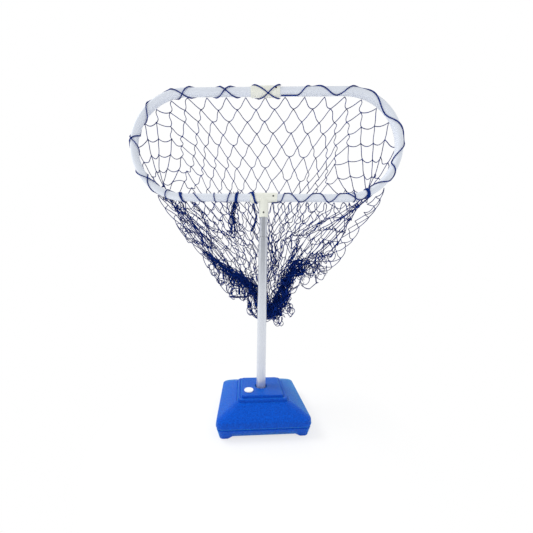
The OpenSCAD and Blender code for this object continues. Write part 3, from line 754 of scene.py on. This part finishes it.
def bag_point(u, v):
    """Point of the bag on column u, v from 0 at the rim to 1 in the fold."""
    s = station(u)
    share, back = layer(u)
    q = 2 * share - 1
    top = on_tube(s, hang_angle(s), RIM_R)
    low = fold_at(share, back)
    taper = np.interp(np.mod(s, 4), TAPER_AT, TAPER)
    drop = np.where(back >= 0, 1 + 0.3 * np.abs(q) ** 3, 1.0)
    belly = np.where(back > 0, BELLY_BACK, BELLY_FRONT) * np.sin(math.pi * np.clip(v, 0, 1)) ** 0.8 * back
    x = top[..., 0] + (low[..., 0] - top[..., 0]) * v ** taper
    y = top[..., 1] + (low[..., 1] - top[..., 1]) * np.sin(0.5 * math.pi * np.minimum(1, 1.3 * v)) + belly
    z = top[..., 2] + (low[..., 2] - top[..., 2]) * v ** drop
    # columns share the width between the bag's two sides
    foot = int(np.argmin(BAG_EDGE[:, 1]))
    left = np.interp(z, BAG_EDGE[foot::-1, 1], BAG_EDGE[foot::-1, 0])
    right = np.interp(z, BAG_EDGE[foot:, 1], BAG_EDGE[foot:, 0])
    upper = np.where(back > 0, np.sin(0.28 * math.pi * q) / math.sin(0.28 * math.pi), q)
    place = upper + (np.sign(q) * np.abs(q) ** np.where(q > 0, 2.1, 1.3) - upper) * \
        ease(np.where(q > 0, 0.1, 0.3), np.where(q > 0, 0.45, 0.6), v)
    spread = left + (right - left) * (0.5 + 0.5 * place)
    share_out = np.where(back > 0, ease(0.35, 0.65, v), ease(0.0, 0.4, v)) * (1 - ease(0.7, 1.0, v))
    return np.stack([x + share_out * (spread - x), y, z], -1)


def net_start():
    """Knots row by row down the bag, and how far down each is: past 1 it lies in the fold."""
    level = np.zeros(COLS)
    knots, depth, step = np.zeros((ROWS + 1, COLS, 3)), np.zeros((ROWS + 1, COLS)), 0.01
    for r in range(ROWS + 1):
        u = np.arange(COLS) + 0.5 * (r % 2)
        back = layer(u)[1]
        v = np.minimum(level, 1)
        knots[r], depth[r] = bag_point(u, v), level
        wide = np.linalg.norm(bag_point(u + 0.5, v) - bag_point(u - 0.5, v), axis=-1)
        open_side = 0.60 + 0.22 * ease(0.6, 0.85, layer(u)[0])
        low_side = np.where(rim(station(u))[:, 1] < 1.10, open_side, np.interp(r, [4, 9], [0.84, 0.60]))
        firm = ease(0.3, 0.75, back)
        tight = firm * PULL_BACK + (1 - firm) * (low_side + (PULL_FRONT - low_side) * ease(0.2, 0.8, -back))
        pitch = np.sqrt(np.maximum((tight * BAR) ** 2 - (wide / 2) ** 2, (PULL_LEAST * BAR) ** 2))
        on = np.minimum(level + step, 1.0)
        slope = np.linalg.norm(bag_point(u, on) - bag_point(u, on - step), axis=-1) / step
        level = level + pitch / slope
        level = 0.4 * level + 0.3 * (np.roll(level, 1) + np.roll(level, -1))
    return knots, depth


def net_bars():
    """Pairs of knots that a bar of the net joins."""
    r, k = np.meshgrid(np.arange(ROWS), np.arange(COLS), indexing="ij")
    a = r * COLS + k
    down = (r + 1) * COLS + k
    aside = (r + 1) * COLS + (k + np.where(r % 2 == 0, -1, 1)) % COLS
    return np.concatenate([np.stack([a, down], -1).reshape(-1, 2), np.stack([a, aside], -1).reshape(-1, 2)])


def keep_in(x, free=True):
    """Keeps points behind the tubes and the post, in front of the bag's back and inside its outline."""
    y = x.copy()
    low = np.where(y[:, 2] < TUBE_BELOW, TUBE_Y, FRONT_Y)
    low = np.where((np.abs(y[:, 0]) < KNOB_CLEAR) & (y[:, 2] < POST_BELOW), KNOB_Y, low)
    y[:, 1] = np.clip(y[:, 1], low, BACK_Y)
    under = y[:, 2] < OUTLINE_BELOW
    for a, b in zip(BAG_EDGE, BAG_EDGE[1:]):
        ab = b - a
        n = unit(np.array([-ab[1], ab[0]]))
        q = y[:, [0, 2]] - a
        off = q @ n
        t = q @ ab / (ab @ ab)
        hit = under & (off < 0) & (off > -OUTLINE_REACH) & (t > -0.3) & (t < 1.3)
        y[hit, 0] -= off[hit] * n[0]
        y[hit, 2] -= off[hit] * n[1]
    return np.where(np.broadcast_to(free, len(x))[:, None], y, x)


def heap(depth, share, back, rng):
    """Where the knots past the bag's depth lie in the fold: spread along it, and some hang loose."""
    n = len(depth)
    run = np.clip((depth - 1) / np.maximum(np.tile(depth[-COLS:] - 1, ROWS + 1), 0.15), 0, 1)
    at = share + (0.60 - share) * 0.4 * run * rng.uniform(0.3, 1.3, n)
    x = fold_at(at, back) + rng.normal(0, 1, (n, 3)) * np.interp(at, HEAP_AT, HEAP_SPREAD)[:, None] * [1, 0.8, 1]
    loose = (rng.random(n) < LOOSE) & ((at < 0.42) | (at > 0.8))
    x[:, 2] -= np.where(loose, rng.uniform(0.015, 0.08, n), 0)
    x[:, 0] += np.where(loose, np.sign(share - 0.5) * rng.uniform(0, 0.03, n), 0)
    return x


def net_settle(rng):
    """Lets the knots hang: no bar longer than its cord, and the net's slack heaped in the fold."""
    start, depth = net_start()
    x, depth = start.reshape(-1, 3), depth.ravel()
    n = len(x)
    row = np.repeat(np.arange(ROWS + 1), COLS)
    share, back = layer(np.concatenate([np.arange(COLS) + 0.5 * (r % 2) for r in range(ROWS + 1)]))
    heaped = depth > 1
    x[heaped] = heap(depth, share, back, rng)[heaped]
    hang = ~heaped & (row > 0)
    shake = np.interp(back, [-1, 0, 0.6, 1], [0.008, 0.006, 0.0045, 0.0035]) * np.clip(depth * 6, 0.3, 1)
    x[hang] += (rng.normal(0, 1, (n, 3)) * [1, 0.6, 0.8] * shake[:, None])[hang]
    bars = net_bars()
    free = row > 0
    loose = free.astype(float)[:, None]
    home, speed = x.copy(), np.zeros_like(x)
    count = np.bincount(bars.ravel(), minlength=n)
    give = np.maximum(loose[bars[:, 0], 0] + loose[bars[:, 1], 0], 1)
    for _ in range(STEPS):
        old = x.copy()
        x = x + KEEP * speed * loose
        x[:, 2] -= FALL * loose[:, 0]
        x += HOLD * loose * (home - x)
        for _ in range(PASSES):
            d = x[bars[:, 1]] - x[bars[:, 0]]
            length = np.linalg.norm(d, axis=1)
            over = np.clip(length - BAR, 0, None) - np.clip(LEAST_BAR - length, 0, None)
            c = (over / np.maximum(length, 1e-6) / give)[:, None] * d
            move = np.stack([np.bincount(bars[:, 0], c[:, i], n) - np.bincount(bars[:, 1], c[:, i], n)
                             for i in range(3)], -1)
            x += PUSH * move * loose / np.maximum(count, 1)[:, None]
            x = keep_in(x, free)
        speed = x - old
    return x, bars, heaped


def slack_bars(a, b, bar, rng, n=9):
    """Bars of the cord's own length between knots: a wave sideways where they hang, an arc where they lie."""
    d = np.linalg.norm(b - a, axis=1)
    dd = np.maximum(d, 0.02)
    t = np.linspace(0, 1, n)[None, :, None]
    u = unit(b - a)
    spare = np.sqrt(np.clip(bar / dd - 1, 0.004, 1.3)) * rng.uniform(0.75, 1.1, len(d))
    fall = np.array([0, 0, -1.0]) + u[:, 2:3] * u
    level = np.linalg.norm(fall, axis=1)
    turn = rng.normal(0, 1, (len(d), 3)) * [1, 0.6, 1]
    turn -= np.sum(turn * u, 1, keepdims=True) * u
    sag = unit(fall + 0.35 * turn)
    side = unit(unit(np.cross(u, [0, 1.0, 0])) + 0.3 * turn)
    sign = np.sign(u[:, 0] + 1e-9) * np.sign(-u[:, 2] + 1e-9)
    h = np.minimum(0.52 * dd * spare * np.clip(level, 0.15, 1), MOST_SAG)[:, None, None]
    w = 0.22 * dd * spare * np.sqrt(np.clip(1 - level ** 2, 0, 1)) * sign
    w = np.clip(w, -MOST_WAVE, MOST_WAVE)[:, None, None]
    straight = a[:, None] + (b - a)[:, None] * t
    return straight + h * 4 * t * (1 - t) * sag[:, None] + w * np.sin(2 * math.pi * t) * side[:, None]


def selvedge_meshes(rng, n=15):
    """Strips of open meshes along both sides of the bag, which start behind the tube."""
    out = []
    t = np.linspace(0, 1, n)[:, None]
    bow = 4 * t * (1 - t)
    heart = seen(*SELVEDGE_HEART, BAG_Y)
    for uv in SELVEDGES:
        deep = RIM_R + (BAG_Y - TUBE_R) * ease(0.0, 0.6, np.linspace(0, 1, len(uv)))
        rows = [np.array([seen(u, v, y) for (u, v), y in zip(uv, deep)])]
        for _ in range(2):
            mid = 0.5 * (rows[-1][1:] + rows[-1][:-1])
            reach = rng.uniform(0.024, 0.034, (len(mid), 1))
            rows.append(mid + unit(heart - mid) * reach + rng.normal(0, 0.003, mid.shape))
        out += [a + (b - a) * t - unit(heart - a) * bow * rng.uniform(0.003, 0.009)
                for a, b in zip(rows[0], rows[0][1:])]
        for outer, inner in zip(rows, rows[1:]):
            ends = [*zip(outer, inner), *zip(outer[1:], inner)]
            out += [a + (b - a) * t + bow * (rng.normal(0, 0.003, 3) - [0, 0, 0.004]) for a, b in ends]
    return np.array(out)


def hung_loops(rng, n=15):
    """Slack meshes that hang out of the fold."""
    out = []
    t = np.linspace(0, 1, n)[:, None]
    w = (4 * t * (1 - t)) ** 0.7
    for low, high, count, deep in HUNG:
        for _ in range(count):
            at = rng.uniform(low, high)
            ends = fold_at(np.clip([at, at + rng.uniform(-0.09, 0.09)], 0, 1)) + rng.normal(0, 0.008, (2, 3))
            fall = rng.uniform(0.35, 1) * deep * (1 - 0.35 * abs(at - 0.3))
            p = ends[0] + (ends[1] - ends[0]) * t + w * np.array([rng.normal(0, 0.012), rng.normal(0, 0.02), -fall])
            p = p + np.sin(2 * math.pi * t * rng.uniform(1, 2.5) + rng.uniform(0, 6)) * w * rng.normal(0, 0.010, 3)
            out.append(keep_in(p))
    for u0, v0, u1, v1, count, size in CURLS:
        for _ in range(count):
            share = rng.random()
            u, v = u0 + (u1 - u0) * share, v0 + (v1 - v0) * share
            at = seen(u, v, rng.uniform(0.05, 0.13)) + rng.normal(0, 0.008, 3)
            phase, turns = rng.uniform(0, 6.3), rng.uniform(0.7, 1.2)
            a = phase + 2 * math.pi * turns * t
            wide, tall = size * rng.uniform(0.6, 1.2, 2)
            p = at + np.concatenate([wide * np.cos(a), 0.4 * size * np.sin(2 * a + phase), tall * np.sin(a)], 1)
            out.append(keep_in(p + rng.normal(0, 0.02, 3) * (t - 0.5)))
    return np.array(out)


def bunch(uv, y, count, spread, rng):
    """Cords that run together along a line of the photograph, each in its own small waves."""
    p = np.array([seen(a, b, y) for a, b in uv])
    at = lengths(p)
    t = np.linspace(0, at[-1], max(10, int(at[-1] / 0.006)))
    middle = np.stack([np.interp(t, at, p[:, i]) for i in range(3)], -1)
    out = []
    for _ in range(count):
        off = rng.normal(0, 1, 3) * spread * [1, 0.8, 0.5]
        wave = np.sin(rng.uniform(30, 110, 3) * t[:, None] + rng.uniform(0, 6.3, 3)) * [1, 1, 0.6]
        out.append(middle + off + 0.8 * spread * wave)
    return out


def knot_forms(at, rng, n=18):
    """A small overhand knot at each point: a trefoil of cord, turned at random."""
    t = np.linspace(0, 2 * math.pi, n)
    form = np.stack([np.sin(t) + 2 * np.sin(2 * t), np.cos(t) - 2 * np.cos(2 * t), -np.sin(3 * t)], -1) / 3 * KNOT_R
    w, x, y, z = unit(rng.normal(size=(len(at), 4))).T
    turn = np.stack([1 - 2 * (y * y + z * z), 2 * (x * y - z * w), 2 * (x * z + y * w),
                     2 * (x * y + z * w), 1 - 2 * (x * x + z * z), 2 * (y * z - x * w),
                     2 * (x * z - y * w), 2 * (y * z + x * w), 1 - 2 * (x * x + y * y)], -1).reshape(-1, 3, 3)
    return at[:, None] + np.einsum("kij,nj->kni", turn, form), turn[:, :, 2]


def across(paths):
    """A direction square to each path's chord and, where it bows, to its plane."""
    u = unit(paths[:, -1] - paths[:, 0] + 1e-6)
    n = np.cross(u, paths[:, paths.shape[1] // 2] - paths[:, 0])
    return unit(np.where(np.linalg.norm(n, axis=1, keepdims=True) < 1e-5, np.cross(u, [0.3, 1.0, 0.2]), n))


def add_net(m):
    rng = np.random.default_rng(SEED)
    x, bars, heaped = net_settle(rng)
    slack = heaped[bars].all(1)
    firm, loose = x[bars[~slack]], x[bars[slack]]
    arcs = [slack_bars(firm[:, 0], firm[:, 1], FIRM_BAR, rng),
            slack_bars(loose[:, 0], loose[:, 1], BAR, rng),
            hung_loops(rng), selvedge_meshes(rng)]
    knots, knot_flat = knot_forms(x[COLS:], rng)
    parts = [tubes(a, CORD_R, 6, across(a)) for a in arcs] + [tubes(knots, KNOT_CORD_R, 5, knot_flat)]
    for uv, y, count, spread in BUNCHES:
        parts += [cord_tube(p, CORD_R, 6) for p in bunch(uv, y, count, spread, rng)]
    verts, faces, uvs = join(parts)
    net = piece("net_bag", verts, faces, m["net"], "head", uvs)
    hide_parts("net_back", "net_right", "net_front", "net_left", "net_gather")


# ---------- lacing ----------

LACE_R = 0.0022
LACE_AXIS = TUBE_R + LACE_R + 0.0002
# Where each cord turns round the tube's edge, in the photograph's pixels: 1 at its inner edge, 0 at its outer.
# The right cord stays in front of the tube. The two left ones pass in front of it and back behind it in turn.
LACE_RIGHT = [(281, 101, 1), (297, 99, 1), (312, 88, 0), (337, 97, 1), (360, 91, 0), (384, 114, 1), (403, 139, 0),
              (390, 160, 1), (391, 176, 0), (371, 184, 1), (362, 198, 0), (343, 192, 1), (329, 201, 0),
              (317, 193, 1), (301, 202, 0), (286, 192, 1), (280, 202, 0), (271, 202, 0)]
LACE_LEFT = [(281, 101, 1), (253, 88, 0), (238, 101, 1), (219, 89, 0), (191, 104, 1), (170, 92, 0), (145, 134, 1),
             (130, 142, 0), (146, 173, 1), (153, 190, 0), (179, 190, 1), (184, 201, 0), (193, 191, 1),
             (203, 202, 0), (214, 192, 1), (215, 202, 0), (238, 193, 1), (234, 202, 0), (250, 191, 1),
             (258, 202, 0)]
LACE_CROSS = [(281, 89, 0), (257, 101, 1), (232, 89, 0), (214, 101, 1), (191, 89, 0), (177, 102, 1), (150, 104, 0),
              (147, 122, 1), (131, 136, 0), (143, 149, 1), (135, 170, 0), (158, 182, 1), (166, 197, 0),
              (168, 190, 1), (226, 202, 0), (231, 192, 1)]
# Angles on the tube of the right cord's turns, and how far past the seen edge the left ones turn, in degrees
INNER_TURN, OUTER_TURN, PAST_EDGE = -172.0, -8.0, 20
# Extra turns beside a pass, which make it a thick bunch: two pixels that they run between, and how many
LACE_THICK = [((238, 193), (234, 202), 3), ((179, 190), (184, 201), 2), ((250, 192), (257, 202), 2),
              ((367, 190), (369, 201), 3), ((353, 192), (355, 202), 1)]
THICK_PITCH, THICK_LIFT, THICK_START, THICK_SWEEP = 0.0042, 0.0008, -250, 330
# Which cord's piece the extra turns belong to, left or right of this x
LACE_PART_X = 0.2


def rim_at(u, v):
    """Station of the hoop nearest to what the photograph shows at pixel (u, v)."""
    s = np.linspace(0, 4, 1601)[:-1]
    at = seen(u, v, -0.008)[[0, 2]]
    return s[int(np.argmin(np.linalg.norm(rim(s) - at, axis=1)))]


def lace_at(s, a, r):
    """On the tube, and on the thicker fittings over their length."""
    x, z = np.abs(rim(s)[:, 0]), rim(s)[:, 1]
    over = (x < COUPLING_END) & (z > MID_Z) | (x < TEE_END) & (z < MID_Z)
    wide = np.convolve(np.pad(over.astype(float), 4, mode="edge"), np.ones(9) / 9, "valid")
    return on_tube(s, a, r + (FITTING_R - TUBE_R) * np.clip(wide * 1.6, 0, 1))


def turn_angle(s, inner, wound):
    """Angle on the tube of a turn at station s: where wound, a little past the edge of what the camera sees."""
    if not wound:
        return INNER_TURN if inner else OUTER_TURN
    outer, opposite = on_tube(np.array([s]), np.array([0.0, 180.0])[:, None], TUBE_R).reshape(2, 3)
    view = EYE - (outer + opposite) / 2
    middle = math.degrees(math.atan2(view @ unit(outer - opposite), -view[1])) - 90
    return middle - 90 - PAST_EDGE if inner else middle + 90 + PAST_EDGE


def lacing_path(spots, wound, lift=0.0, per=18):
    """From turn to turn; lift raises each front pass at its middle, where it crosses the other cord."""
    s, a, high = [], [], []
    here = rim_at(*spots[0][:2])
    angle = turn_angle(here, spots[0][2], wound)
    t = np.arange(per) / per
    smooth = (1 - np.cos(math.pi * t)) / 2
    across_front = 0.5 + 0.25 * (2 * t - 1) + 0.5 * np.arcsin(2 * t - 1) / math.pi
    for i, ((_, _, was), (u, v, inner)) in enumerate(zip(spots, spots[1:])):
        behind = wound and i % 2 == 1
        there = rim_at(u, v)
        there += 4 * round((here - there) / 4)
        step = turn_angle(there, inner, wound) - turn_angle(here, was, wound)
        if behind:
            step -= math.copysign(360, step)
        s.append(here + (there - here) * (t if wound else 0.75 * t + 0.25 * smooth))
        a.append(angle + step * (t if behind else across_front if wound else smooth))
        high.append(0 * t if behind else lift * np.sin(math.pi * t) ** 2)
        here, angle = there, angle + step
    r = LACE_AXIS + np.concatenate(high)
    return lace_at(np.concatenate(s), np.concatenate(a), r)


def extra_turns():
    """Short turns over the front, side by side, with their ends behind the tube."""
    out = []
    t = np.linspace(0, 1, 30)
    for (u0, v0), (u1, v1), count in LACE_THICK:
        s0, s1 = rim_at(u0, v0), rim_at(u1, v1)
        for k in range(count):
            off = (k - (count - 1) / 2) * THICK_PITCH + LACE_R
            s = s0 + (s1 - s0) * t - off / (2 * BEND_X)
            out.append(lace_at(s, THICK_START + THICK_SWEEP * t, LACE_AXIS + THICK_LIFT * (k % 2)))
    return out


def add_lacing(m):
    turns = extra_turns()
    right = [lacing_path(LACE_RIGHT, False)] + [p for p in turns if p[0, 0] > LACE_PART_X]
    left = [lacing_path(LACE_LEFT, True), lacing_path(LACE_CROSS, True, 2 * LACE_R)] + \
        [p for p in turns if p[0, 0] < LACE_PART_X]
    for side, cords in (("lacing_right", right), ("lacing_left", left)):
        verts, faces, uvs = join([cord_tube(p, LACE_R) for p in cords])
        cord = piece(side + "_cord", verts, faces, m["lace"], "head", uvs)
        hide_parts(side)


bpy.context.scene.view_settings.view_transform = "Standard"
add_camera()
add_world()
add_lamp()
add_floor()
add_cards()
materials = make_materials()
add_hard_parts(materials)
add_net(materials)
add_lacing(materials)
